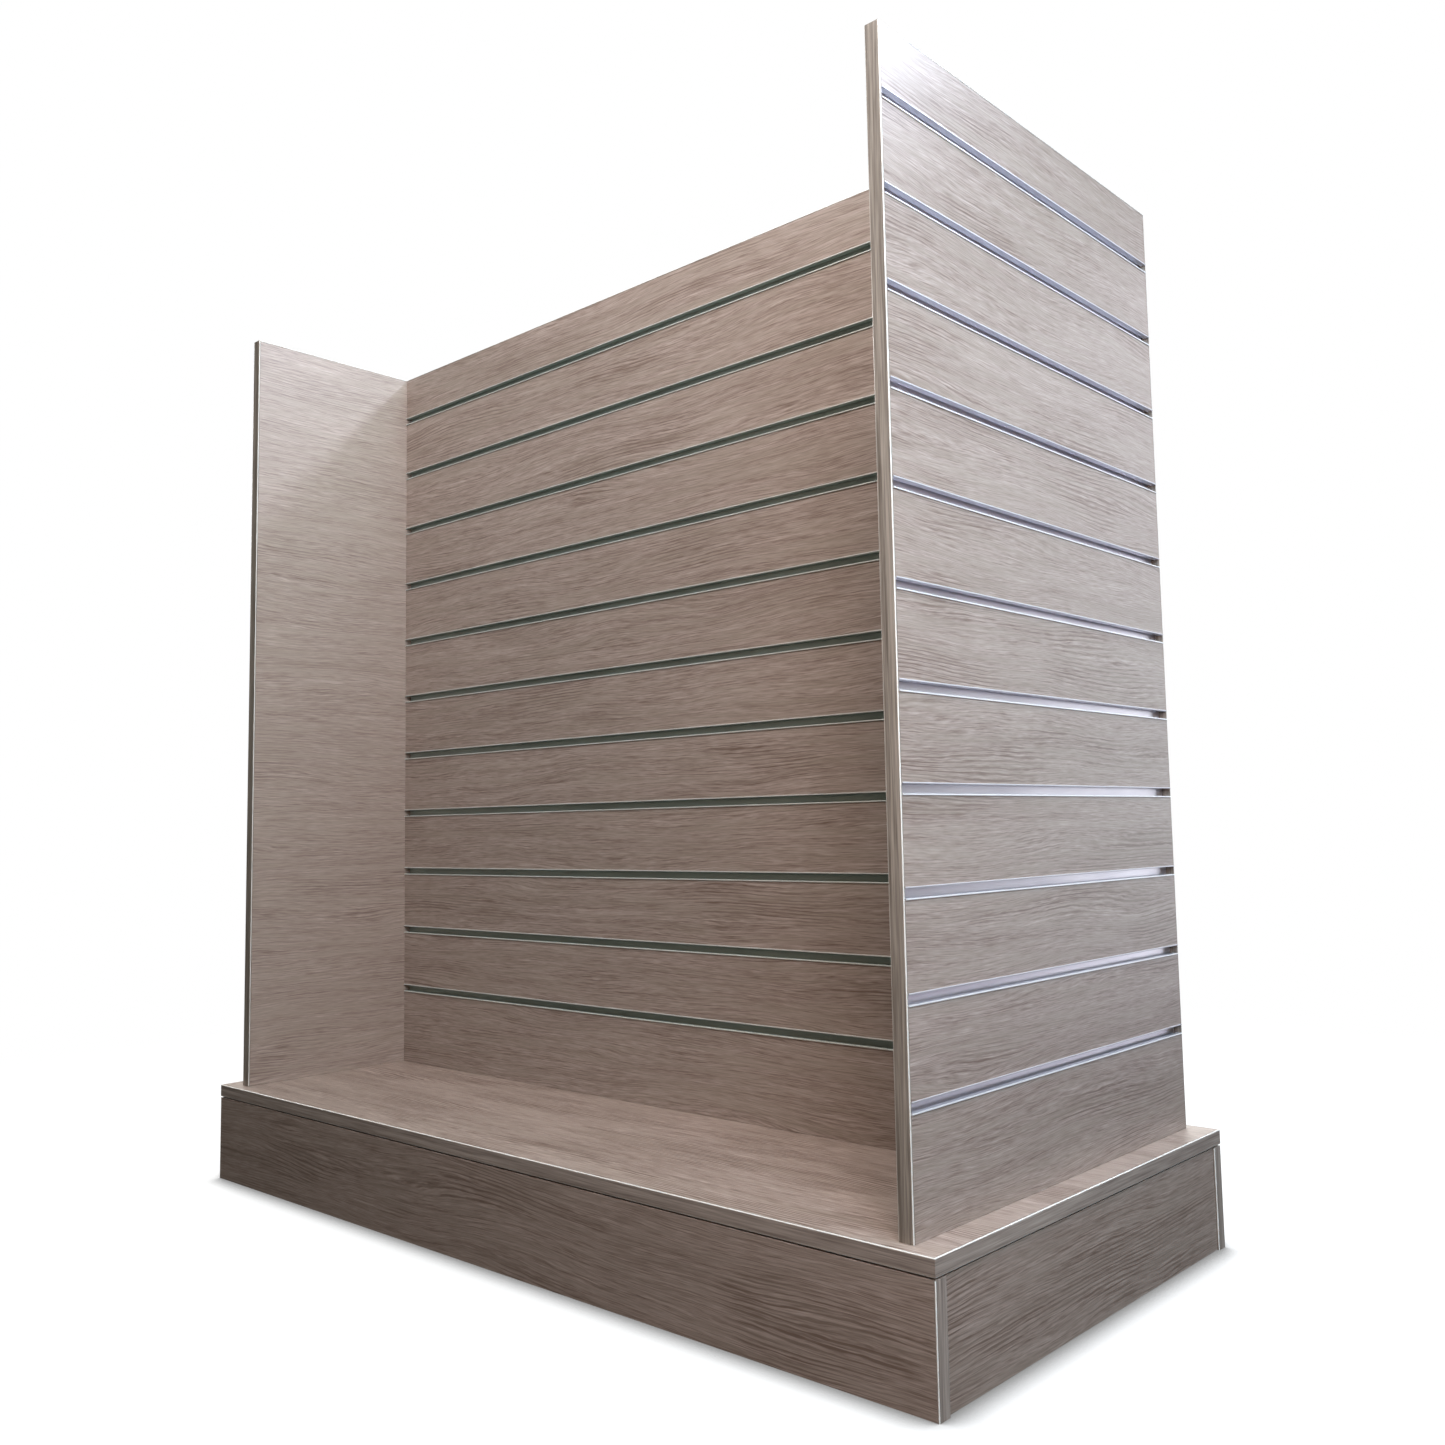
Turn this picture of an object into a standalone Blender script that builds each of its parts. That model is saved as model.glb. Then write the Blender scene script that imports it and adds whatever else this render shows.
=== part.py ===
"""Free-standing H gondola in slatwall: two end panels and a double centre panel on a boxed base.

Every board is 18 mm melamine-faced chipboard. The outer faces of the end panels and both faces of the
centre panel carry eleven horizontal T grooves on a 100 mm pitch, and each groove holds an aluminium
insert that takes hooks, arms and shelf brackets.

Frame: metres, +Z up. The origin is on the floor at the middle of the base. +X runs along the width,
and the front of the fixture faces -Y.
"""

import math

import bmesh
import bpy

# Boards and the gaps between parts
BOARD = 0.018               # board thickness
EDGE_BAND = 0.002           # thickness of the plastic edging
ARRIS = 0.0012              # rounding along the edging's outer corners
GAP = 0.0003                # glue line or butt joint between two parts

# Overall sizes
END_DEPTH = 0.600           # end panels, front to back, edging included
END_TO_END = 1.272          # over the outer faces of the two end panels
BASE_HEIGHT = 0.143         # floor to the top of the deck
DECK_SIDE_MARGIN = 0.035    # deck that shows outside each end panel
DECK_FRONT_MARGIN = 0.018   # deck that shows in front of and behind the end panels

# Base
PLINTH_SETBACK = 0.002      # short plinth boards sit back from the deck's edge
PLINTH_LIFT = 0.001         # short boards and ribs stop short of the floor
RIB_SPACING = 0.448         # between the two ribs under the deck

# Grooves
GROOVE_COUNT = 11
GROOVE_PITCH = 0.100
FIRST_GROOVE = 0.0763       # panel top down to the middle of the highest groove
THROAT_HEIGHT = 0.0118      # slot at the face of the board
THROAT_DEPTH = 0.0050       # board left in front of the pocket
POCKET_HEIGHT = 0.024       # wide part of the T behind the face
GROOVE_DEPTH = 0.0115       # whole depth of the T

# Aluminium inserts
INSERT_WALL = 0.0009
INSERT_GAP = 0.0002         # sliding clearance between an insert and its groove
LIP_HEIGHT = 0.0016         # lip that shows on the face, above and below the slot
LIP_ROUND = 0.0004

# Sizes that follow from those above
PANEL_HEIGHT = (GROOVE_COUNT + 1) * GROOVE_PITCH
BASE_WIDTH = END_TO_END + 2 * DECK_SIDE_MARGIN
BASE_DEPTH = END_DEPTH + 2 * DECK_FRONT_MARGIN
DECK_UNDERSIDE = BASE_HEIGHT - BOARD
PLINTH_TOP = DECK_UNDERSIDE - GAP
PANEL_BOTTOM = BASE_HEIGHT + GAP
PANEL_TOP = BASE_HEIGHT + PANEL_HEIGHT
CORE_TOP = PANEL_TOP - EDGE_BAND - GAP
CLEAR_WIDTH = END_TO_END - 2 * BOARD
END_CORE_DEPTH = END_DEPTH - 2 * (EDGE_BAND + GAP)
PLINTH_INNER_DEPTH = BASE_DEPTH - 2 * (BOARD + GAP)
GROOVE_HEIGHTS = [PANEL_TOP - FIRST_GROOVE - row * GROOVE_PITCH for row in range(GROOVE_COUNT)]

ARRIS_STEPS = 4


def clear_scene():
    """Remove every object, so that the script gives the same result in any file."""
    for item in list(bpy.data.objects):
        bpy.data.objects.remove(item, do_unlink=True)


def make_material(name, colour, roughness, metallic=0.0):
    """Principled material with a linear RGB colour."""
    material = bpy.data.materials.new(name)
    material.use_nodes = True
    shader = material.node_tree.nodes["Principled BSDF"]
    shader.inputs["Base Color"].default_value = (*colour, 1.0)
    shader.inputs["Roughness"].default_value = roughness
    shader.inputs["Metallic"].default_value = metallic
    return material


def add_object(name, points, faces, material):
    """Closed mesh object from points and faces, with its faces turned outwards."""
    mesh = bpy.data.meshes.new(name)
    mesh.from_pydata(points, [], faces)
    body = bmesh.new()
    body.from_mesh(mesh)
    bmesh.ops.recalc_face_normals(body, faces=body.faces)
    body.to_mesh(mesh)
    body.free()
    mesh.materials.append(material)
    item = bpy.data.objects.new(name, mesh)
    bpy.context.collection.objects.link(item)
    return item


def sweep(name, rings, closed, material):
    """Solid through rings of matching points: closed joins the last ring to the first."""
    size = len(rings[0])
    points = [point for ring in rings for point in ring]
    faces = []
    last = len(rings) if closed else len(rings) - 1
    for index in range(last):
        here = index * size
        there = (index + 1) % len(rings) * size
        for corner in range(size):
            following = (corner + 1) % size
            faces.append((here + corner, here + following, there + following, there + corner))
    if not closed:
        faces.append(tuple(range(size)))
        faces.append(tuple(range(last * size, last * size + size)))
    return add_object(name, points, faces, material)


def box(name, low, high, material):
    """Plain rectangular board between two opposite corners."""
    rings = []
    for x in (low[0], high[0]):
        rings.append([(x, low[1], low[2]), (x, high[1], low[2]), (x, high[1], high[2]), (x, low[1], high[2])])
    return sweep(name, rings, False, material)


def quarter_round(centre, radius, start_degrees, steps=ARRIS_STEPS):
    """Points of a quarter circle that runs on from start_degrees."""
    points = []
    for step in range(steps + 1):
        angle = math.radians(start_degrees + 90.0 * step / steps)
        points.append((centre[0] + radius * math.cos(angle), centre[1] + radius * math.sin(angle)))
    return points


def edging_section(width):
    """Edging in section: first value outwards from the board, second across the board's edge."""
    half = width / 2
    outer = EDGE_BAND - ARRIS
    section = [(0.0, -half)]
    section += quarter_round((outer, -half + ARRIS), ARRIS, -90.0)
    section += quarter_round((outer, half - ARRIS), ARRIS, 0.0)
    section.append((0.0, half))
    return section


def grooved_section(bottom, top):
    """Grooved board in section: first value outwards from the grooved face, second the height."""
    section = [(-BOARD, bottom), (0.0, bottom)]
    for height in reversed(GROOVE_HEIGHTS):
        throat_low = height - THROAT_HEIGHT / 2
        throat_high = height + THROAT_HEIGHT / 2
        pocket_low = height - POCKET_HEIGHT / 2
        pocket_high = height + POCKET_HEIGHT / 2
        section += [(0.0, throat_low), (-THROAT_DEPTH, throat_low)]
        section += [(-THROAT_DEPTH, pocket_low), (-GROOVE_DEPTH, pocket_low)]
        section += [(-GROOVE_DEPTH, pocket_high), (-THROAT_DEPTH, pocket_high)]
        section += [(-THROAT_DEPTH, throat_high), (0.0, throat_high)]
    section += [(0.0, top), (-BOARD, top)]
    return section


def insert_section():
    """Insert in section about the middle of its groove: outwards from the face, then the height."""
    slot = THROAT_HEIGHT / 2 - INSERT_GAP - INSERT_WALL
    throat = slot + INSERT_WALL
    lip_top = slot + LIP_HEIGHT
    lip_back = INSERT_GAP
    lip_front = lip_back + INSERT_WALL
    shoulder = -THROAT_DEPTH - INSERT_GAP
    shoulder_inside = shoulder - INSERT_WALL
    pocket = POCKET_HEIGHT / 2 - INSERT_GAP
    pocket_inside = pocket - INSERT_WALL
    back = -GROOVE_DEPTH + INSERT_GAP
    back_inside = back + INSERT_WALL
    rounded = lip_front - LIP_ROUND
    upper = [(back_inside, pocket_inside), (shoulder_inside, pocket_inside), (shoulder_inside, slot)]
    upper += quarter_round((rounded, slot + LIP_ROUND), LIP_ROUND, -90.0, 2)
    upper += quarter_round((rounded, lip_top - LIP_ROUND), LIP_ROUND, 0.0, 2)
    upper += [(lip_back, lip_top), (lip_back, throat), (shoulder, throat), (shoulder, pocket), (back, pocket)]
    lower = [(out, -height) for out, height in reversed(upper)]
    return upper + lower


def build_deck(board, edging):
    """Deck board, and the edging that runs right round it."""
    half_width = BASE_WIDTH / 2
    half_depth = BASE_DEPTH / 2
    inset = EDGE_BAND + GAP
    low = (-half_width + inset, -half_depth + inset, DECK_UNDERSIDE)
    high = (half_width - inset, half_depth - inset, BASE_HEIGHT)
    box("deck_board", low, high, board)
    middle = BASE_HEIGHT - BOARD / 2
    rings = []
    for side_x, side_y in ((-1, -1), (1, -1), (1, 1), (-1, 1)):
        ring = []
        for out, across in edging_section(BOARD):
            x = side_x * (half_width - EDGE_BAND + out)
            y = side_y * (half_depth - EDGE_BAND + out)
            ring.append((x, y, middle + across))
        rings.append(ring)
    sweep("deck_edging", rings, True, edging)


def build_long_plinth_board(name, side, board):
    """Front or back plinth board, full width, with its banded ends rounded."""
    outline = []
    middle = side * (BASE_DEPTH - BOARD) / 2
    for turn, (side_x, side_y) in enumerate(((1, 1), (-1, 1), (-1, -1), (1, -1))):
        centre = (side_x * (BASE_WIDTH / 2 - ARRIS), middle + side_y * (BOARD / 2 - ARRIS))
        outline += quarter_round(centre, ARRIS, 90.0 * turn)
    rings = [[(x, y, z) for x, y in outline] for z in (0.0, PLINTH_TOP)]
    sweep(name, rings, False, board)


def build_short_plinth_board(name, outer_x, side, board):
    """Board across the base between the long ones, with its outer face at outer_x."""
    inner_x = outer_x - side * BOARD
    low = (min(outer_x, inner_x), -PLINTH_INNER_DEPTH / 2, PLINTH_LIFT)
    high = (max(outer_x, inner_x), PLINTH_INNER_DEPTH / 2, PLINTH_TOP)
    box(name, low, high, board)


def build_plinth(board):
    """Four plinth boards and the two ribs that carry the deck between them."""
    build_long_plinth_board("plinth_front", -1, board)
    build_long_plinth_board("plinth_back", 1, board)
    end_x = BASE_WIDTH / 2 - PLINTH_SETBACK
    rib_x = (RIB_SPACING + BOARD) / 2
    build_short_plinth_board("plinth_left", -end_x, -1, board)
    build_short_plinth_board("plinth_right", end_x, 1, board)
    build_short_plinth_board("plinth_rib_left", -rib_x, -1, board)
    build_short_plinth_board("plinth_rib_right", rib_x, 1, board)


def build_end_panel(name, side, board, edging):
    """End panel with its grooves facing out to one side, and the edging over its three free edges."""
    face_x = side * END_TO_END / 2
    half = END_CORE_DEPTH / 2
    rings = []
    for y in (-half, half):
        rings.append([(face_x + side * out, y, z) for out, z in grooved_section(PANEL_BOTTOM, CORE_TOP)])
    sweep(name, rings, False, board)
    middle = face_x - side * BOARD / 2
    inner_y = END_DEPTH / 2 - EDGE_BAND
    inner_z = PANEL_TOP - EDGE_BAND
    stations = ((-1, PANEL_BOTTOM, 0), (-1, inner_z, 1), (1, inner_z, 1), (1, PANEL_BOTTOM, 0))
    rings = []
    for side_y, z, rises in stations:
        ring = []
        for out, across in edging_section(BOARD):
            ring.append((middle + across, side_y * (inner_y + out), z + rises * out))
        rings.append(ring)
    sweep(name + "_edging", rings, False, edging)


def build_centre_panel(board, edging):
    """Two grooved boards back to back between the end panels, and the edging along their top."""
    half = CLEAR_WIDTH / 2 - GAP
    for name, side in (("centre_panel_front", -1), ("centre_panel_back", 1)):
        rings = []
        for x in (-half, half):
            ring = []
            for out, z in grooved_section(PANEL_BOTTOM, CORE_TOP):
                ring.append((x, side * (GAP / 2 + BOARD + out), z))
            rings.append(ring)
        sweep(name, rings, False, board)
    rings = []
    for x in (-half, half):
        ring = []
        for out, across in edging_section(2 * BOARD + GAP):
            ring.append((x, across, PANEL_TOP - EDGE_BAND + out))
        rings.append(ring)
    sweep("centre_panel_edging", rings, False, edging)


def build_inserts(aluminium):
    """One insert in every groove, numbered from the top of its panel."""
    section = insert_section()
    end_half = END_CORE_DEPTH / 2
    centre_half = CLEAR_WIDTH / 2 - GAP
    for row, height in enumerate(GROOVE_HEIGHTS, start=1):
        for name, side in (("insert_left", -1), ("insert_right", 1)):
            rings = []
            for y in (-end_half, end_half):
                rings.append([(side * (END_TO_END / 2 + out), y, height + z) for out, z in section])
            sweep(f"{name}_{row:02d}", rings, False, aluminium)
        for name, side in (("insert_front", -1), ("insert_back", 1)):
            rings = []
            for x in (-centre_half, centre_half):
                rings.append([(x, side * (GAP / 2 + BOARD + out), height + z) for out, z in section])
            sweep(f"{name}_{row:02d}", rings, False, aluminium)


def main():
    """Build the whole fixture."""
    clear_scene()
    board = make_material("melamine_board", (0.27, 0.22, 0.19), 0.45)
    edging = make_material("edge_band", (0.24, 0.21, 0.18), 0.40)
    aluminium = make_material("insert_aluminium", (0.72, 0.73, 0.74), 0.30, 1.0)
    build_deck(board, edging)
    build_plinth(board)
    build_end_panel("end_panel_left", -1, board, edging)
    build_end_panel("end_panel_right", 1, board, edging)
    build_centre_panel(board, edging)
    build_inserts(aluminium)


if __name__ == "__main__":
    main()
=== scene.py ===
"""Looks of a free-standing slatwall H gondola in oak-print melamine with aluminium groove inserts.

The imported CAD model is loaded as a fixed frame, in metres with +Z up. The fixture's width runs
along X and its front faces -Y. Each sub-assembly is a class that takes its places from the frame,
builds any finer pieces that stand for a CAD node, and dresses what it owns in procedural finishes.
"""

import logging
import math
from dataclasses import dataclass
from enum import Enum, IntEnum
from typing import Any

import bmesh
import bpy
from mathutils import Euler, Matrix, Vector


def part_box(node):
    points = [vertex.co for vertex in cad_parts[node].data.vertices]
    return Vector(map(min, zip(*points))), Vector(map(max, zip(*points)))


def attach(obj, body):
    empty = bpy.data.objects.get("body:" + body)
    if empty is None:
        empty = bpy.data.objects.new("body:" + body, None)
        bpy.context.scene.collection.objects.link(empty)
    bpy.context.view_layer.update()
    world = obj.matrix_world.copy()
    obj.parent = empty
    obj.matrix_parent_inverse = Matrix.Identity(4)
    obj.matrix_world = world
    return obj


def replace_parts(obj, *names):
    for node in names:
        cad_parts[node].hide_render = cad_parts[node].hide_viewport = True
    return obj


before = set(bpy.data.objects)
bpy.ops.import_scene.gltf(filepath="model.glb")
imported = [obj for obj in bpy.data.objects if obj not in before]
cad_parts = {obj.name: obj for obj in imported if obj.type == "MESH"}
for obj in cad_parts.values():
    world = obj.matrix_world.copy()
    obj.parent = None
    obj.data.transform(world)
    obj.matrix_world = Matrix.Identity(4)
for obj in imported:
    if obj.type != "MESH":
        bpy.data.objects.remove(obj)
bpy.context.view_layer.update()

LOG = logging.getLogger("gondola")

MM = 0.001
GROOVE_COUNT = 11
STRETCH_STEP = (1.7, 0.61, 0.37)  # metres of print from one board's number to the next
NOISE_RANGE = (0.3, 0.7)  # where most of a noise's values lie
CORNER_NORMALS = (0.999, 0.95)  # largest part of the normal on a flat side and on a round
WHITE = (1.0, 1.0, 1.0, 1.0)


class Grain(Enum):
    """How a printed grain lies on a board: directions along it, across it and through the board.

    The print on a band that turns corners is flat, so it has no direction through the band.
    """

    UPRIGHT_WIDE = ((1, 0, 0), (0, 0, 1), (0, 1, 0))
    UPRIGHT_DEEP = ((0, 1, 0), (0, 0, 1), (1, 0, 0))
    LEVEL_WIDE = ((1, 0, 0), (0, 1, 0), (0, 0, 1))
    LEVEL_RING = ((1, 1, 0), (0, 0, 1), (0, 0, 0))
    UPRIGHT_ARCH = ((0, 1, 1), (1, 0, 0), (0, 0, 0))
    POST = ((0, 0, 1), (0, 1, 0), (1, 0, 0))


class Stretch(IntEnum):
    """Number of each board, band and set of inserts, so that each has its own stretch of print."""

    DECK_BOARD = 3
    DECK_EDGING = 5
    PLINTH_FRONT = 11
    PLINTH_BACK = 17
    PLINTH_LEFT = 21
    PLINTH_RIGHT = 22
    PLINTH_RIB_LEFT = 23
    PLINTH_RIB_RIGHT = 24
    LEFT_PANEL = 31
    RIGHT_PANEL = 37
    CENTRE_FRONT = 41
    CENTRE_EDGING = 43
    CENTRE_BACK = 47
    LEFT_INSERTS = 61
    RIGHT_INSERTS = 62
    FRONT_INSERTS = 63
    BACK_INSERTS = 64


def linear(hex_colour: str) -> tuple[float, float, float, float]:
    """Turn an sRGB hex colour into the linear RGBA that shaders take.

    Args:
        hex_colour: colour as six hex digits, with or without a leading hash.

    Returns:
        The linear colour with an alpha of 1.
    """
    digits = hex_colour.lstrip("#")
    channels = []
    for start in (0, 2, 4):
        value = int(digits[start : start + 2], 16) / 255
        channels.append(value / 12.92 if value <= 0.04045 else ((value + 0.055) / 1.055) ** 2.4)
    return (channels[0], channels[1], channels[2], 1.0)


def add_node(
    tree: bpy.types.NodeTree,
    kind: str,
    inputs: dict[str | int, Any] | None = None,
    **settings: Any,
) -> bpy.types.Node:
    """Add one node with its settings and links.

    Args:
        tree: node tree that gets the node.
        kind: the node's type, without the ShaderNode in front.
        inputs: for each input, by name or number, a plain value or the socket to link from.
        settings: the node's own properties.

    Returns:
        The new node.
    """
    node = tree.nodes.new(f"ShaderNode{kind}")
    for name, value in settings.items():
        setattr(node, name, value)
    for name, value in (inputs or {}).items():
        if isinstance(value, bpy.types.NodeSocket):
            tree.links.new(value, node.inputs[name])
        else:
            node.inputs[name].default_value = value
    return node


def new_material(name: str) -> tuple[bpy.types.Material, bpy.types.NodeTree]:
    """Make an empty node material.

    Args:
        name: name of the material.

    Returns:
        The material and its cleared node tree.
    """
    material = bpy.data.materials.new(name)
    material.use_nodes = True
    material.node_tree.nodes.clear()
    return material, material.node_tree


def grain_space(tree: bpy.types.NodeTree, grain: Grain, stretch: int) -> bpy.types.NodeSocket:
    """Lay the object's coordinates out along a board's grain, in millimetres.

    Args:
        tree: node tree of the material.
        grain: how the grain lies on the board.
        stretch: number of the board, so that no two boards share a stretch of the print.

    Returns:
        A vector socket: along the grain, across it, and through the board.
    """
    place = add_node(tree, "TexCoord").outputs["Object"]
    lengths = {}
    for number, direction in enumerate(grain.value):
        dot = add_node(tree, "VectorMath", {0: place, 1: direction}, operation="DOT_PRODUCT")
        lengths[number] = dot.outputs["Value"]
    joined = add_node(tree, "CombineXYZ", lengths)
    shift = tuple(step * stretch for step in STRETCH_STEP)
    moved = add_node(tree, "VectorMath", {0: joined.outputs[0], 1: shift}, operation="ADD")
    scaled = add_node(tree, "VectorMath", {0: moved.outputs[0], "Scale": 1 / MM}, operation="SCALE")
    return scaled.outputs[0]


def streaks(
    tree: bpy.types.NodeTree,
    space: bpy.types.NodeSocket,
    length: float,
    width: float,
    detail: float,
) -> bpy.types.NodeSocket:
    """Draw noise out along the grain.

    Args:
        tree: node tree of the material.
        space: grain space in millimetres.
        length: size of a streak along the grain, in millimetres.
        width: size of a streak across the grain, in millimetres.
        detail: octaves of finer noise.

    Returns:
        A value socket from 0 to 1, mostly within NOISE_RANGE.
    """
    size = (1 / length, 1 / width, 1 / width)
    mapped = add_node(tree, "Mapping", {"Vector": space, "Scale": size})
    settings = {"Vector": mapped.outputs[0], "Scale": 1.0, "Detail": detail, "Roughness": 0.55}
    return add_node(tree, "TexNoise", settings).outputs["Fac"]


def rounded_corners(tree: bpy.types.NodeTree) -> bpy.types.NodeSocket:
    """Find the rounded corners of square-cut stock by their slanting normals.

    Args:
        tree: node tree of the material.

    Returns:
        A value socket: 0 on flat sides and 1 on rounded corners.
    """
    normal = add_node(tree, "TexCoord").outputs["Normal"]
    size = add_node(tree, "VectorMath", {0: normal}, operation="ABSOLUTE")
    parts = add_node(tree, "SeparateXYZ", {0: size.outputs[0]}).outputs
    wider = add_node(tree, "Math", {0: parts[0], 1: parts[1]}, operation="MAXIMUM")
    widest = add_node(tree, "Math", {0: wider.outputs[0], 1: parts[2]}, operation="MAXIMUM")
    flat, slanting = CORNER_NORMALS
    corner = add_node(
        tree, "MapRange", {"Value": widest.outputs[0], "From Min": flat, "From Max": slanting}
    )
    return corner.outputs[0]


@dataclass(frozen=True)
class OakMelamine:
    """Melamine-faced chipboard with a printed oak grain under a satin pressed surface.

    The print gives long fibres in drifting bands of tone, patches of fine wavy growth lines about
    5 mm apart, and a slow change between a pinkish and an olive brown. The pressed resin has a soft
    sheen that is a little uneven along the fibres. Real pores are about 0.3 mm wide, too fine to
    show, so fibres and flecks are drawn as coarse as they need to show, at 1 to 1.5 mm.
    """

    name: str = "oak_melamine"
    dark: str = "#6c594f"
    light: str = "#af9f96"
    olive: str = "#94877b"
    olive_share: float = 0.45
    roughness: float = 0.36
    duller: float = 0.05
    glossier: float = 0.04
    ior: float = 1.5
    band_size: tuple[float, float] = (520.0, 14.0)
    band_share: float = 0.55
    fibre_size: tuple[float, float] = (80.0, 1.45)
    fibre_share: float = 1.60
    fleck_size: tuple[float, float] = (24.0, 0.95)
    fleck_share: float = 1.67
    tone_start: float = -1.36
    tone_range: tuple[float, float] = (0.05, 1.1)
    line_pitch: float = 4.9
    line_depth: float = 0.42
    line_edge: float = 0.9
    patch_size: tuple[float, float] = (260.0, 60.0)
    line_patches: tuple[float, float] = (0.54, 0.68)
    fewest_lines: float = 0.06
    flame_size: tuple[float, float] = (420.0, 80.0)
    flame_height: float = 46.0
    ripple_size: tuple[float, float] = (46.0, 9.0)
    ripple_height: float = 3.2
    drift_size: tuple[float, float] = (150.0, 9.0)
    drift_range: tuple[float, float] = (0.38, 0.68)
    fleck_relief: float = 0.6
    relief_strength: float = 0.30
    relief_depth: float = 0.06 * MM

    def flowing_space(
        self, tree: bpy.types.NodeTree, space: bpy.types.NodeSocket
    ) -> bpy.types.NodeSocket:
        """Bend the grain space along the contours of a slow noise, as wood bends round its heart.

        Args:
            tree: node tree of the material.
            space: grain space in millimetres.

        Returns:
            A vector socket: grain space whose middle axis crosses the bent grain.
        """
        along, across, through = add_node(tree, "SeparateXYZ", {0: space}).outputs
        flame = streaks(tree, space, *self.flame_size, 1.0)
        ripple = streaks(tree, space, *self.ripple_size, 2.0)
        bent = add_node(
            tree, "Math", {0: flame, 1: self.flame_height, 2: across}, operation="MULTIPLY_ADD"
        )
        wavy = add_node(
            tree,
            "Math",
            {0: ripple, 1: self.ripple_height, 2: bent.outputs[0]},
            operation="MULTIPLY_ADD",
        )
        flow = add_node(tree, "CombineXYZ", {0: along, 1: wavy.outputs[0], 2: through})
        return flow.outputs[0]

    def growth_lines(
        self, tree: bpy.types.NodeTree, space: bpy.types.NodeSocket, flow: bpy.types.NodeSocket
    ) -> bpy.types.NodeSocket:
        """Draw thin lines along the bent grain, as a flat-sawn face shows its rings.

        Args:
            tree: node tree of the material.
            space: grain space in millimetres.
            flow: grain space bent along the grain.

        Returns:
            A value socket: 1 on a line and 0 between the lines.
        """
        crossing = add_node(tree, "SeparateXYZ", {0: flow}).outputs[1]
        turns = add_node(
            tree, "Math", {0: crossing, 1: 2 * math.pi / self.line_pitch}, operation="MULTIPLY"
        )
        wave = add_node(tree, "Math", {0: turns.outputs[0]}, operation="SINE")
        line = add_node(
            tree,
            "MapRange",
            {"Value": wave.outputs[0], "From Min": 0.0, "From Max": self.line_edge},
            interpolation_type="SMOOTHSTEP",
        )
        start, full = self.line_patches
        patch = add_node(
            tree,
            "MapRange",
            {
                "Value": streaks(tree, space, *self.patch_size, 1.0),
                "From Min": start,
                "From Max": full,
                "To Min": self.fewest_lines,
            },
            interpolation_type="SMOOTHSTEP",
        )
        lines = add_node(
            tree, "Math", {0: line.outputs[0], 1: patch.outputs[0]}, operation="MULTIPLY"
        )
        return lines.outputs[0]

    def printed_colour(
        self,
        tree: bpy.types.NodeTree,
        space: bpy.types.NodeSocket,
        flow: bpy.types.NodeSocket,
        fibres: bpy.types.NodeSocket,
        flecks: bpy.types.NodeSocket,
    ) -> bpy.types.NodeSocket:
        """Print bands, fibres, flecks and growth lines in browns that drift towards olive.

        Args:
            tree: node tree of the material.
            space: grain space in millimetres.
            flow: grain space bent along the grain.
            fibres: noise of the fibres.
            flecks: noise of the flecks.

        Returns:
            A colour socket.
        """
        layers = (
            (streaks(tree, flow, *self.band_size, 2.0), self.band_share),
            (fibres, self.fibre_share),
            (flecks, self.fleck_share),
            (self.growth_lines(tree, space, flow), -self.line_depth),
        )
        tone: float | bpy.types.NodeSocket = self.tone_start
        for layer, share in layers:
            mixed = add_node(tree, "Math", {0: layer, 1: share, 2: tone}, operation="MULTIPLY_ADD")
            tone = mixed.outputs[0]
        darkest, lightest = self.tone_range
        fade = add_node(
            tree, "MapRange", {"Value": tone, "From Min": darkest, "From Max": lightest}
        )
        brown = add_node(
            tree,
            "Mix",
            {"Factor": fade.outputs[0], "A": linear(self.dark), "B": linear(self.light)},
            data_type="RGBA",
        )
        start, full = self.drift_range
        drift = add_node(
            tree,
            "MapRange",
            {
                "Value": streaks(tree, space, *self.drift_size, 3.0),
                "From Min": start,
                "From Max": full,
                "To Max": self.olive_share,
            },
            interpolation_type="SMOOTHSTEP",
        )
        colour = add_node(
            tree,
            "Mix",
            {"Factor": drift.outputs[0], "A": brown.outputs["Result"], "B": linear(self.olive)},
            data_type="RGBA",
        )
        return colour.outputs["Result"]

    def material(self, grain: Grain, stretch: int) -> bpy.types.Material:
        """Build the finish for one board.

        Args:
            grain: how the grain lies on the board.
            stretch: number of the board.

        Returns:
            The material.
        """
        material, tree = new_material(f"{self.name}_{stretch:02d}")
        space = grain_space(tree, grain, stretch)
        flow = self.flowing_space(tree, space)
        fibres = streaks(tree, flow, *self.fibre_size, 3.0)
        flecks = streaks(tree, flow, *self.fleck_size, 2.0)
        colour = self.printed_colour(tree, space, flow, fibres, flecks)
        relief = add_node(
            tree, "Math", {0: flecks, 1: self.fleck_relief, 2: fibres}, operation="MULTIPLY_ADD"
        )
        bump = add_node(
            tree,
            "Bump",
            {
                "Height": relief.outputs[0],
                "Strength": self.relief_strength,
                "Distance": self.relief_depth,
            },
        )
        sheen = add_node(
            tree,
            "MapRange",
            {
                "Value": fibres,
                "From Min": NOISE_RANGE[0],
                "From Max": NOISE_RANGE[1],
                "To Min": self.roughness - self.glossier,
                "To Max": self.roughness + self.duller,
            },
        )
        shader = add_node(
            tree,
            "BsdfPrincipled",
            {
                "Base Color": colour,
                "Roughness": sheen.outputs[0],
                "IOR": self.ior,
                "Normal": bump.outputs["Normal"],
            },
        )
        add_node(tree, "OutputMaterial", {"Surface": shader.outputs["BSDF"]})
        return material


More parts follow.
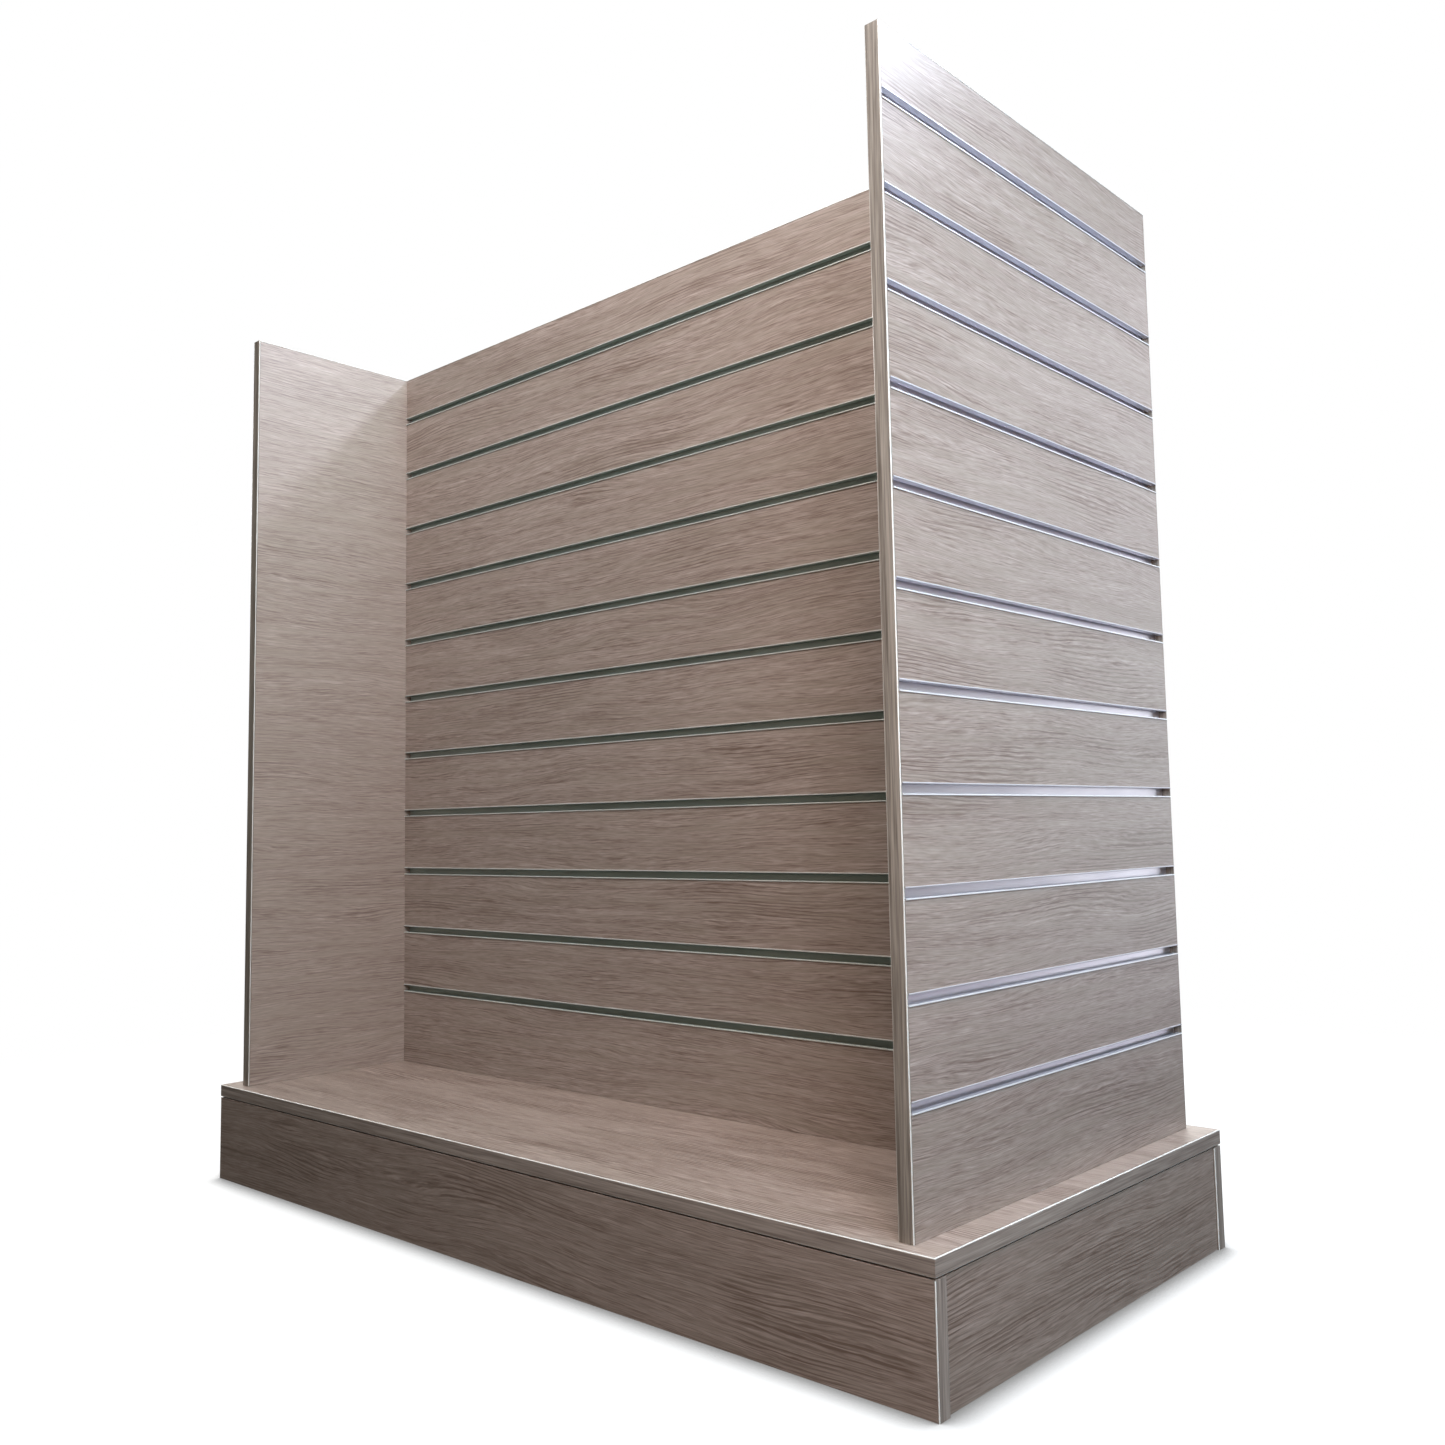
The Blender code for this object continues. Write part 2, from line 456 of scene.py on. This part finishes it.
@dataclass(frozen=True)
class EdgeBand:
    """ABS edging, 2 mm thick, printed with a straight oak grain, its corners rounded by a scraper.

    The print gives narrow straight fibres along the band, a little greyer than the boards. The
    scraper leaves the corners smoother than the face, and they are painted paler, partly for the
    scraper's real whitening and partly as a painted highlight, which draws a fine light line round
    every board. Fibres are drawn 2 mm wide, as coarse as they need to show.
    """

    name: str = "oak_edge_band"
    dark: str = "#60564d"
    light: str = "#9a8f84"
    scraped_highlight: str = "#dcd8d2"
    roughness: float = 0.36
    scraped_roughness: float = 0.25
    ior: float = 1.53
    fibre_size: tuple[float, float] = (75.0, 2.0)
    band_size: tuple[float, float] = (380.0, 6.0)
    band_share: float = 0.6
    tone_range: tuple[float, float] = (0.58, 1.02)
    relief_strength: float = 0.25
    relief_depth: float = 0.05 * MM

    def material(self, grain: Grain, stretch: int) -> bpy.types.Material:
        """Build the finish for one run of edging.

        Args:
            grain: how the band runs.
            stretch: number of the band.

        Returns:
            The material.
        """
        material, tree = new_material(f"{self.name}_{stretch:02d}")
        space = grain_space(tree, grain, stretch)
        fibres = streaks(tree, space, *self.fibre_size, 3.0)
        bands = streaks(tree, space, *self.band_size, 1.0)
        tone = add_node(
            tree, "Math", {0: bands, 1: self.band_share, 2: fibres}, operation="MULTIPLY_ADD"
        )
        darkest, lightest = self.tone_range
        fade = add_node(
            tree,
            "MapRange",
            {"Value": tone.outputs[0], "From Min": darkest, "From Max": lightest},
        )
        printed = add_node(
            tree,
            "Mix",
            {"Factor": fade.outputs[0], "A": linear(self.dark), "B": linear(self.light)},
            data_type="RGBA",
        )
        corner = rounded_corners(tree)
        # The rounded corners are painted pale: partly the scraper's real whitening, partly a
        # painted highlight along the arris.
        colour = add_node(
            tree,
            "Mix",
            {"Factor": corner, "A": printed.outputs["Result"], "B": linear(self.scraped_highlight)},
            data_type="RGBA",
        )
        sheen = add_node(
            tree,
            "MapRange",
            {"Value": corner, "To Min": self.roughness, "To Max": self.scraped_roughness},
        )
        bump = add_node(
            tree,
            "Bump",
            {"Height": fibres, "Strength": self.relief_strength, "Distance": self.relief_depth},
        )
        shader = add_node(
            tree,
            "BsdfPrincipled",
            {
                "Base Color": colour.outputs["Result"],
                "Roughness": sheen.outputs[0],
                "IOR": self.ior,
                "Normal": bump.outputs["Normal"],
            },
        )
        add_node(tree, "OutputMaterial", {"Surface": shader.outputs["BSDF"]})
        return material


@dataclass(frozen=True)
class AnodisedAluminium:
    """Extruded aluminium, natural satin anodised.

    The die leaves fine lines along the extrusion, drawn 1.6 mm wide, as coarse as they need to
    show. Inside the groove the etched oxide scatters part of the light, so the metal reads as a
    soft pale grey. The lips on the face are brushed rougher, and their paler colour is a painted
    highlight, stronger on the lower lip than on the upper one.
    """

    name: str = "anodised_aluminium"
    inside: str = "#e2dfe5"
    dulled: str = "#d6d3da"
    lower_lip_highlight: str = "#f1f1f1"
    upper_lip_highlight: str = "#cfcdd1"
    metallic: float = 0.70
    roughness: float = 0.32
    dulled_roughness: float = 0.03
    lip_roughness: float = 0.50
    lip_depth: float = 0.9 * MM
    die_line_size: tuple[float, float] = (500.0, 1.6)
    handling_size: tuple[float, float] = (90.0, 14.0)
    handling_range: tuple[float, float] = (0.4, 0.7)
    relief_strength: float = 0.08
    relief_depth: float = 0.02 * MM

    def material(
        self, grain: Grain, stretch: int, face: float, middle: float, pitch: float
    ) -> bpy.types.Material:
        """Build the finish for the inserts of one face.

        Args:
            grain: the extrusions' direction.
            stretch: number of the face.
            face: distance of the lips' front from the fixture's middle plane, in metres.
            middle: height of the middle of the top groove, in metres.
            pitch: height from one groove to the next, in metres.

        Returns:
            The material.
        """
        material, tree = new_material(f"{self.name}_{stretch:02d}")
        space = grain_space(tree, grain, stretch)
        die_lines = streaks(tree, space, *self.die_line_size, 2.0)
        handling = streaks(tree, space, *self.handling_size, 3.0)
        start, full = self.handling_range
        worn = add_node(tree, "MapRange", {"Value": handling, "From Min": start, "From Max": full})
        metal = add_node(
            tree,
            "Mix",
            {"Factor": worn.outputs[0], "A": linear(self.inside), "B": linear(self.dulled)},
            data_type="RGBA",
        )
        place = add_node(tree, "TexCoord").outputs["Object"]
        out = add_node(tree, "VectorMath", {0: place, 1: grain.value[2]}, operation="DOT_PRODUCT")
        far = add_node(tree, "Math", {0: out.outputs["Value"]}, operation="ABSOLUTE")
        lip = add_node(
            tree, "Math", {0: far.outputs[0], 1: face - self.lip_depth}, operation="GREATER_THAN"
        )
        height = add_node(tree, "SeparateXYZ", {0: place}).outputs[2]
        below = add_node(tree, "Math", {0: middle, 1: height}, operation="SUBTRACT")
        turn = add_node(
            tree, "Math", {0: below.outputs[0], 1: pitch / 2, 2: -pitch / 2}, operation="WRAP"
        )
        lower = add_node(tree, "Math", {0: turn.outputs[0], 1: 0.0}, operation="GREATER_THAN")
        # The lips are painted paler than the metal inside, as a painted highlight, the lower lip
        # more than the upper one.
        lips = add_node(
            tree,
            "Mix",
            {"Factor": lower.outputs[0], "A": linear(self.upper_lip_highlight), "B": linear(self.lower_lip_highlight)},
            data_type="RGBA",
        )
        colour = add_node(
            tree,
            "Mix",
            {"Factor": lip.outputs[0], "A": metal.outputs["Result"], "B": lips.outputs["Result"]},
            data_type="RGBA",
        )
        soft = add_node(
            tree,
            "MapRange",
            {
                "Value": worn.outputs[0],
                "To Min": self.roughness,
                "To Max": self.roughness + self.dulled_roughness,
            },
        )
        sheen = add_node(
            tree,
            "MapRange",
            {"Value": lip.outputs[0], "To Min": soft.outputs[0], "To Max": self.lip_roughness},
        )
        bump = add_node(
            tree,
            "Bump",
            {"Height": die_lines, "Strength": self.relief_strength, "Distance": self.relief_depth},
        )
        shader = add_node(
            tree,
            "BsdfPrincipled",
            {
                "Base Color": colour.outputs["Result"],
                "Metallic": self.metallic,
                "Roughness": sheen.outputs[0],
                "Normal": bump.outputs["Normal"],
            },
        )
        add_node(tree, "OutputMaterial", {"Surface": shader.outputs["BSDF"]})
        return material


def dress(node: str, material: bpy.types.Material) -> None:
    """Give a CAD node its finish.

    Args:
        node: name of the CAD node.
        material: finish for all of it.
    """
    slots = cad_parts[node].data.materials
    slots.clear()
    slots.append(material)
    LOG.info("%s dressed", node)


def add_piece(
    name: str, body: bmesh.types.BMesh, material: bpy.types.Material
) -> bpy.types.Object:
    """Turn a bmesh into a piece that rides on the fixture.

    Args:
        name: name of the piece.
        body: its mesh, which is freed.
        material: its finish.

    Returns:
        The piece.
    """
    bmesh.ops.recalc_face_normals(body, faces=body.faces)
    mesh = bpy.data.meshes.new(name)
    body.to_mesh(mesh)
    body.free()
    mesh.materials.append(material)
    piece = bpy.data.objects.new(name, mesh)
    bpy.context.collection.objects.link(piece)
    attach(piece, "root")
    LOG.info("%s built", name)
    return piece


def block(low: Vector, high: Vector) -> bmesh.types.BMesh:
    """Rectangular block between two corners.

    Args:
        low: lowest corner.
        high: highest corner.

    Returns:
        A bmesh of the block.
    """
    body = bmesh.new()
    bmesh.ops.create_cube(body, size=1.0)
    bmesh.ops.scale(body, vec=high - low, verts=body.verts)
    bmesh.ops.translate(body, vec=(low + high) / 2, verts=body.verts)
    return body


def round_edges(
    body: bmesh.types.BMesh, edges: list[bmesh.types.BMEdge], radius: float, segments: int
) -> None:
    """Round some edges of a mesh.

    Args:
        body: mesh to change.
        edges: edges to round.
        radius: radius of the round.
        segments: number of strips in it.
    """
    bmesh.ops.bevel(
        body,
        geom=edges,
        offset=radius,
        segments=segments,
        profile=0.5,
        affect="EDGES",
        material=-1,
    )


@dataclass
class Base:
    """Boxed base: a deck board with its edging on a plinth of four boards and two ribs.

    The plinth boards stand clear of the deck and of each other by open joints, which show as dark
    lines. The long boards have a band on each end, with its outer corners rounded by a scraper.
    """

    deck_board: OakMelamine
    plinth_board: OakMelamine
    band: EdgeBand
    band_thickness: float = 2 * MM
    arris: float = 1.2 * MM
    arris_segments: int = 6
    sawn_edge: float = 0.25 * MM
    sawn_segments: int = 2
    glue_line: float = 0.1 * MM
    deck_joint: float = 1.4 * MM
    end_joint: float = 0.7 * MM

    def build_end_band(self, low: Vector, high: Vector, side: int) -> bmesh.types.BMesh:
        """Build the band on one end of a long board.

        Args:
            low: lowest corner of the long board.
            high: highest corner of the long board.
            side: -1 for the left end and 1 for the right end.

        Returns:
            A bmesh of the band.
        """
        outer = high.x if side > 0 else low.x
        inner = outer - side * self.band_thickness
        strip = block(
            Vector((min(inner, outer), low.y, low.z)), Vector((max(inner, outer), high.y, high.z))
        )
        corners = []
        for edge in strip.edges:
            first, second = (vertex.co for vertex in edge.verts)
            upright = abs(first.z - second.z) > self.band_thickness
            if upright and abs(first.x - outer) < self.glue_line:
                corners.append(edge)
        round_edges(strip, corners, self.arris, self.arris_segments)
        return strip

    def build_long_board(self, node: str, stretch: Stretch) -> None:
        """Build a long plinth board as its sawn core and the two edge bands glued to its ends.

        Args:
            node: CAD node that the three pieces stand for.
            stretch: number of the board.
        """
        low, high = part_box(node)
        high.z -= self.deck_joint
        reach = Vector((self.band_thickness + self.glue_line, 0, 0))
        core = block(low + reach, high - reach)
        round_edges(core, list(core.edges), self.sawn_edge, self.sawn_segments)
        finish = self.plinth_board.material(Grain.UPRIGHT_WIDE, stretch)
        pieces = [add_piece(f"{node}_core", core, finish)]
        for label, side in (("left", -1), ("right", 1)):
            strip = self.build_end_band(low, high, side)
            band = self.band.material(Grain.POST, stretch + side)
            pieces.append(add_piece(f"{node}_band_{label}", strip, band))
        for piece in pieces:
            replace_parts(piece, node)

    def build_short_board(self, node: str, stretch: Stretch) -> None:
        """Build a short plinth board, cut back to leave its open joints.

        Args:
            node: CAD node that the piece stands for.
            stretch: number of the board.
        """
        low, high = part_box(node)
        ends = Vector((0, self.end_joint, 0))
        board = block(low + ends, high - ends - Vector((0, 0, self.deck_joint)))
        round_edges(board, list(board.edges), self.sawn_edge, self.sawn_segments)
        finish = self.plinth_board.material(Grain.UPRIGHT_DEEP, stretch)
        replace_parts(add_piece(f"{node}_board", board, finish), node)

    def build(self) -> None:
        """Build and dress every part of the base."""
        dress("deck_board", self.deck_board.material(Grain.LEVEL_WIDE, Stretch.DECK_BOARD))
        dress("deck_edging", self.band.material(Grain.LEVEL_RING, Stretch.DECK_EDGING))
        self.build_long_board("plinth_front", Stretch.PLINTH_FRONT)
        self.build_long_board("plinth_back", Stretch.PLINTH_BACK)
        self.build_short_board("plinth_left", Stretch.PLINTH_LEFT)
        self.build_short_board("plinth_right", Stretch.PLINTH_RIGHT)
        for node, stretch in (
            ("plinth_rib_left", Stretch.PLINTH_RIB_LEFT),
            ("plinth_rib_right", Stretch.PLINTH_RIB_RIGHT),
        ):
            dress(node, self.plinth_board.material(Grain.UPRIGHT_DEEP, stretch))
        LOG.info("base built")


@dataclass
class EndPanel:
    """Slatwall end panel with its grooves on the outside and edging over its three free edges."""

    side: str
    board: OakMelamine
    band: EdgeBand
    stretch: Stretch

    def build(self) -> None:
        """Dress the panel and its edging."""
        finish = self.board.material(Grain.UPRIGHT_DEEP, self.stretch)
        edging = self.band.material(Grain.UPRIGHT_ARCH, self.stretch)
        dress(f"end_panel_{self.side}", finish)
        dress(f"end_panel_{self.side}_edging", edging)
        LOG.info("%s end panel built", self.side)


@dataclass
class CentrePanel:
    """Two slatwall boards back to back, with edging along the top."""

    board: OakMelamine
    band: EdgeBand

    def build(self) -> None:
        """Dress both boards and the edging."""
        front = self.board.material(Grain.UPRIGHT_WIDE, Stretch.CENTRE_FRONT)
        back = self.board.material(Grain.UPRIGHT_WIDE, Stretch.CENTRE_BACK)
        dress("centre_panel_front", front)
        dress("centre_panel_back", back)
        dress("centre_panel_edging", self.band.material(Grain.LEVEL_WIDE, Stretch.CENTRE_EDGING))
        LOG.info("centre panel built")


@dataclass
class Inserts:
    """Aluminium inserts of one slatwall face."""

    face: str
    metal: AnodisedAluminium
    direction: Grain
    stretch: Stretch

    def build(self) -> None:
        """Dress the inserts, with the lips told apart by their place on the face."""
        low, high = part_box(f"insert_{self.face}_01")
        next_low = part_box(f"insert_{self.face}_02")[0]
        through = Vector(self.direction.value[2])
        front = max(abs(low.dot(through)), abs(high.dot(through)))
        middle = (low.z + high.z) / 2
        pitch = low.z - next_low.z
        material = self.metal.material(self.direction, self.stretch, front, middle, pitch)
        for row in range(1, GROOVE_COUNT + 1):
            dress(f"insert_{self.face}_{row:02d}", material)
        LOG.info("%s inserts dressed", self.face)


@dataclass(frozen=True)
class SoftBox:
    """Rectangular studio light aimed at a point, with its brightness given as radiance."""

    name: str
    place: tuple[float, float, float]
    aim: tuple[float, float, float]
    width: float
    height: float
    radiance: tuple[float, float, float]

    def build(self) -> None:
        """Make the light, unseen by the camera itself."""
        brightest = max(self.radiance)
        light = bpy.data.lights.new(self.name, "AREA")
        light.shape = "RECTANGLE"
        light.size = self.width
        light.size_y = self.height
        light.energy = math.pi * self.width * self.height * brightest
        light.color = [channel / brightest for channel in self.radiance]
        lamp = bpy.data.objects.new(self.name, light)
        bpy.context.collection.objects.link(lamp)
        lamp.location = self.place
        lamp.rotation_euler = (Vector(self.aim) - lamp.location).to_track_quat("-Z", "Y").to_euler()
        lamp.visible_camera = False


def studio_lights() -> tuple[SoftBox, ...]:
    """Choose the soft boxes.

    The ceiling lights give the main light, and two small ones at the back draw the slanting shadow
    on the left end panel. Fills soften the front, the left and the back. Cards behind the right end
    panel are what its inserts mirror.

    Returns:
        The lights of the set.
    """
    middle = (0.0, 0.0, 0.7)
    corner = (0.65, 0.0, 0.7)
    return (
        SoftBox("ceiling_key", (1.0, -1.0, 2.4), middle, 0.7, 0.7, (25.4, 23.8, 23.0)),
        SoftBox("ceiling_front", (-0.1, -0.56, 2.3), middle, 0.7, 0.6, (9.8, 9.7, 9.8)),
        SoftBox("ceiling_right", (2.2, -0.2, 2.0), middle, 0.8, 0.8, (7.6, 11.2, 13.4)),
        SoftBox("ceiling_middle", (0.0, 0.4, 2.6), middle, 0.8, 0.8, (7.5, 11.3, 12.6)),
        SoftBox("ceiling_back", (0.9, 1.02, 2.5), middle, 0.20, 0.20, (64.0, 72.0, 84.0)),
        SoftBox("corner_spot", (1.65, 0.84, 2.3), middle, 0.20, 0.20, (100.0, 108.0, 130.0)),
        SoftBox("side_fill", (1.65, -0.95, 1.4), middle, 0.6, 0.6, (11.4, 15.0, 18.3)),
        SoftBox("front_low", (1.3, -1.1, 0.8), middle, 0.5, 0.5, (7.0, 5.0, 4.0)),
        SoftBox("left_fill", (-2.3, 0.15, 1.7), middle, 1.0, 1.0, (13.0, 12.7, 12.4)),
        SoftBox("rear_fill", (-0.5, 2.3, 1.8), middle, 1.0, 1.0, (13.0, 12.8, 12.6)),
        SoftBox("card_low", (1.58, 2.85, 0.6), corner, 1.4, 1.2, (1.87, 1.92, 2.06)),
        SoftBox("card_high", (1.58, 2.85, 1.8), corner, 1.4, 1.2, (2.40, 2.32, 2.48)),
        SoftBox("card_floor", (1.9, 2.0, 0.02), (1.9, 2.0, 3.0), 1.6, 2.6, (0.45, 0.37, 0.49)),
    )


@dataclass
class Studio:
    """Pale floor, white surroundings, soft lights and the camera.

    The floor and the surroundings are white to the camera alone. To every other ray they are dim,
    because light thrown up by them would wash the fixture out.
    """

    lights: tuple[SoftBox, ...]
    floor_size: float = 40.0
    floor_colour: str = "#757575"
    floor_bounce: str = "#4a4846"
    floor_glow: float = 0.84
    floor_gloss: float = 0.1
    floor_roughness: tuple[float, float] = (0.55, 0.70)
    floor_fade: tuple[float, float] = (1.1, 2.2)
    cloud_scale: float = 3.0
    contact_reach: float = 0.045
    contact_range: tuple[float, float] = (0.45, 1.0)
    contact_shade: float = 0.30
    contact_samples: int = 8
    surround: tuple[float, float, float] = (0.10, 0.11, 0.095)
    camera_place: tuple[float, float, float] = (1.3710, -1.3393, 0.5340)
    camera_azimuth: float = 41.96
    camera_elevation: float = 5.175
    camera_roll: float = -1.071
    camera_lens: float = 32.876
    camera_shift: tuple[float, float] = (-0.0149, -0.0113)

    def lit_floor(self, tree: bpy.types.NodeTree) -> bpy.types.NodeSocket:
        """Make the floor that the camera sees: matt, and plain white further out.

        Args:
            tree: node tree of the floor's material.

        Returns:
            A shader socket.
        """
        place = add_node(tree, "TexCoord").outputs["Object"]
        cloud = add_node(
            tree, "TexNoise", {"Vector": place, "Scale": self.cloud_scale, "Detail": 4.0}
        )
        smoothest, roughest = self.floor_roughness
        sheen = add_node(
            tree,
            "MapRange",
            {"Value": cloud.outputs["Fac"], "To Min": smoothest, "To Max": roughest},
        )
        shader = add_node(
            tree,
            "BsdfPrincipled",
            {
                "Base Color": linear(self.floor_colour),
                "Roughness": sheen.outputs[0],
                "Specular IOR Level": self.floor_gloss,
                "Emission Color": WHITE,
                "Emission Strength": self.floor_glow,
            },
        )
        white = add_node(tree, "Emission", {"Color": WHITE, "Strength": 1.0})
        away = add_node(tree, "VectorMath", {0: place}, operation="LENGTH")
        start, full = self.floor_fade
        fade = add_node(
            tree,
            "MapRange",
            {"Value": away.outputs["Value"], "From Min": start, "From Max": full},
            interpolation_type="SMOOTHSTEP",
        )
        mixed = add_node(
            tree, "MixShader", {0: fade.outputs[0], 1: shader.outputs["BSDF"], 2: white.outputs[0]}
        )
        return mixed.outputs[0]

    def shade_contact(
        self, tree: bpy.types.NodeTree, floor: bpy.types.NodeSocket
    ) -> bpy.types.NodeSocket:
        """Darken the floor where the plinth stands on it with a painted contact shadow.

        Args:
            tree: node tree of the floor's material.
            floor: shader of the open floor.

        Returns:
            A shader socket.
        """
        hemmed = add_node(
            tree,
            "AmbientOcclusion",
            {"Distance": self.contact_reach},
            samples=self.contact_samples,
        )
        start, full = self.contact_range
        clear = add_node(
            tree,
            "MapRange",
            {"Value": hemmed.outputs["AO"], "From Min": start, "From Max": full},
            interpolation_type="SMOOTHSTEP",
        )
        # A grey glow, mixed in by ambient occlusion near the plinth, is the painted contact shadow.
        grey = (*(self.contact_shade,) * 3, 1.0)
        painted_shadow = add_node(tree, "Emission", {"Color": grey, "Strength": 1.0})
        mixed = add_node(
            tree, "MixShader", {0: clear.outputs[0], 1: painted_shadow.outputs[0], 2: floor}
        )
        return mixed.outputs[0]

    def build_floor(self) -> None:
        """Lay a matt white floor that fades into the white surround away from the fixture."""
        material, tree = new_material("white_studio_vinyl")
        seen = self.shade_contact(tree, self.lit_floor(tree))
        dim = add_node(tree, "BsdfDiffuse", {"Color": linear(self.floor_bounce)})
        path = add_node(tree, "LightPath")
        both = add_node(
            tree, "MixShader", {0: path.outputs["Is Camera Ray"], 1: dim.outputs[0], 2: seen}
        )
        add_node(tree, "OutputMaterial", {"Surface": both.outputs[0]})
        body = bmesh.new()
        bmesh.ops.create_grid(body, x_segments=4, y_segments=4, size=self.floor_size / 2)
        mesh = bpy.data.meshes.new("studio_floor")
        body.to_mesh(mesh)
        body.free()
        mesh.materials.append(material)
        floor = bpy.data.objects.new("studio_floor", mesh)
        bpy.context.collection.objects.link(floor)

    def build_world(self) -> None:
        """Surround the set with white behind the fixture and a dim glow that fills its shadows."""
        world = bpy.data.worlds.new("white_surround")
        world.use_nodes = True
        tree = world.node_tree
        tree.nodes.clear()
        seen = add_node(tree, "Background", {"Color": WHITE, "Strength": 1.0})
        glow = add_node(tree, "Background", {"Color": (*self.surround, 1.0), "Strength": 1.0})
        path = add_node(tree, "LightPath")
        both = add_node(
            tree,
            "MixShader",
            {0: path.outputs["Is Camera Ray"], 1: glow.outputs[0], 2: seen.outputs[0]},
        )
        add_node(tree, "OutputWorld", {"Surface": both.outputs[0]})
        bpy.context.scene.world = world

    def build_camera(self) -> None:
        """Set the camera at the front right corner, at the height of the lower grooves."""
        data = bpy.data.cameras.new("camera")
        data.lens = self.camera_lens
        data.shift_x, data.shift_y = self.camera_shift
        camera = bpy.data.objects.new("camera", data)
        bpy.context.collection.objects.link(camera)
        pitch = math.radians(90 + self.camera_elevation)
        turn = Euler((pitch, 0.0, math.radians(self.camera_azimuth))).to_matrix().to_4x4()
        roll = Matrix.Rotation(math.radians(self.camera_roll), 4, "Z")
        camera.matrix_world = Matrix.Translation(self.camera_place) @ turn @ roll
        bpy.context.scene.camera = camera

    def build(self) -> None:
        """Build the set."""
        self.build_floor()
        self.build_world()
        for light in self.lights:
            light.build()
        self.build_camera()
        bpy.context.scene.view_settings.view_transform = "Standard"
        LOG.info("studio built")


def main() -> None:
    """Build every sub-assembly in order, then the studio round them."""
    logging.basicConfig(level=logging.INFO, format="%(name)s: %(message)s")
    board = OakMelamine()
    plinth_board = OakMelamine(
        name="oak_melamine_plinth",
        dark="#69564b",
        light="#a8968c",
        olive="#8d7e73",
        line_depth=0.50,
        line_patches=(0.45, 0.62),
    )
    deck_board = OakMelamine(
        name="oak_melamine_deck",
        dark="#614e44",
        light="#bcaaa0",
        olive="#9b8c80",
        line_depth=0.60,
        line_patches=(0.44, 0.60),
    )
    left_board = OakMelamine(
        name="oak_melamine_left_panel", dark="#736159", light="#a8998f", line_depth=0.32
    )
    right_board = OakMelamine(
        name="oak_melamine_right_panel", line_depth=0.44, line_patches=(0.48, 0.64)
    )
    band = EdgeBand()
    deck_band = EdgeBand(name="oak_deck_band", dark="#70625a", light="#a3958b")
    # The end panels' inserts get the pale aluminium; the centre panel's get a darker, greener copy
    # of the same metal, whose colours are painted shade standing in for the dark surroundings their
    # grooves reflect.
    lit_aluminium = AnodisedAluminium()
    shaded_aluminium = AnodisedAluminium(
        name="aluminium_painted_shade",
        inside="#a2aca5",
        dulled="#969f99",
        lower_lip_highlight="#c4c6bf",
        upper_lip_highlight="#bcbcb8",
        metallic=0.20,
        roughness=0.40,
    )
    Base(deck_board, plinth_board, deck_band).build()
    EndPanel("left", left_board, band, Stretch.LEFT_PANEL).build()
    EndPanel("right", right_board, band, Stretch.RIGHT_PANEL).build()
    CentrePanel(board, band).build()
    Inserts("left", lit_aluminium, Grain.UPRIGHT_DEEP, Stretch.LEFT_INSERTS).build()
    Inserts("right", lit_aluminium, Grain.UPRIGHT_DEEP, Stretch.RIGHT_INSERTS).build()
    Inserts("front", shaded_aluminium, Grain.UPRIGHT_WIDE, Stretch.FRONT_INSERTS).build()
    Inserts("back", shaded_aluminium, Grain.UPRIGHT_WIDE, Stretch.BACK_INSERTS).build()
    Studio(studio_lights()).build()


if __name__ == "__main__":
    main()
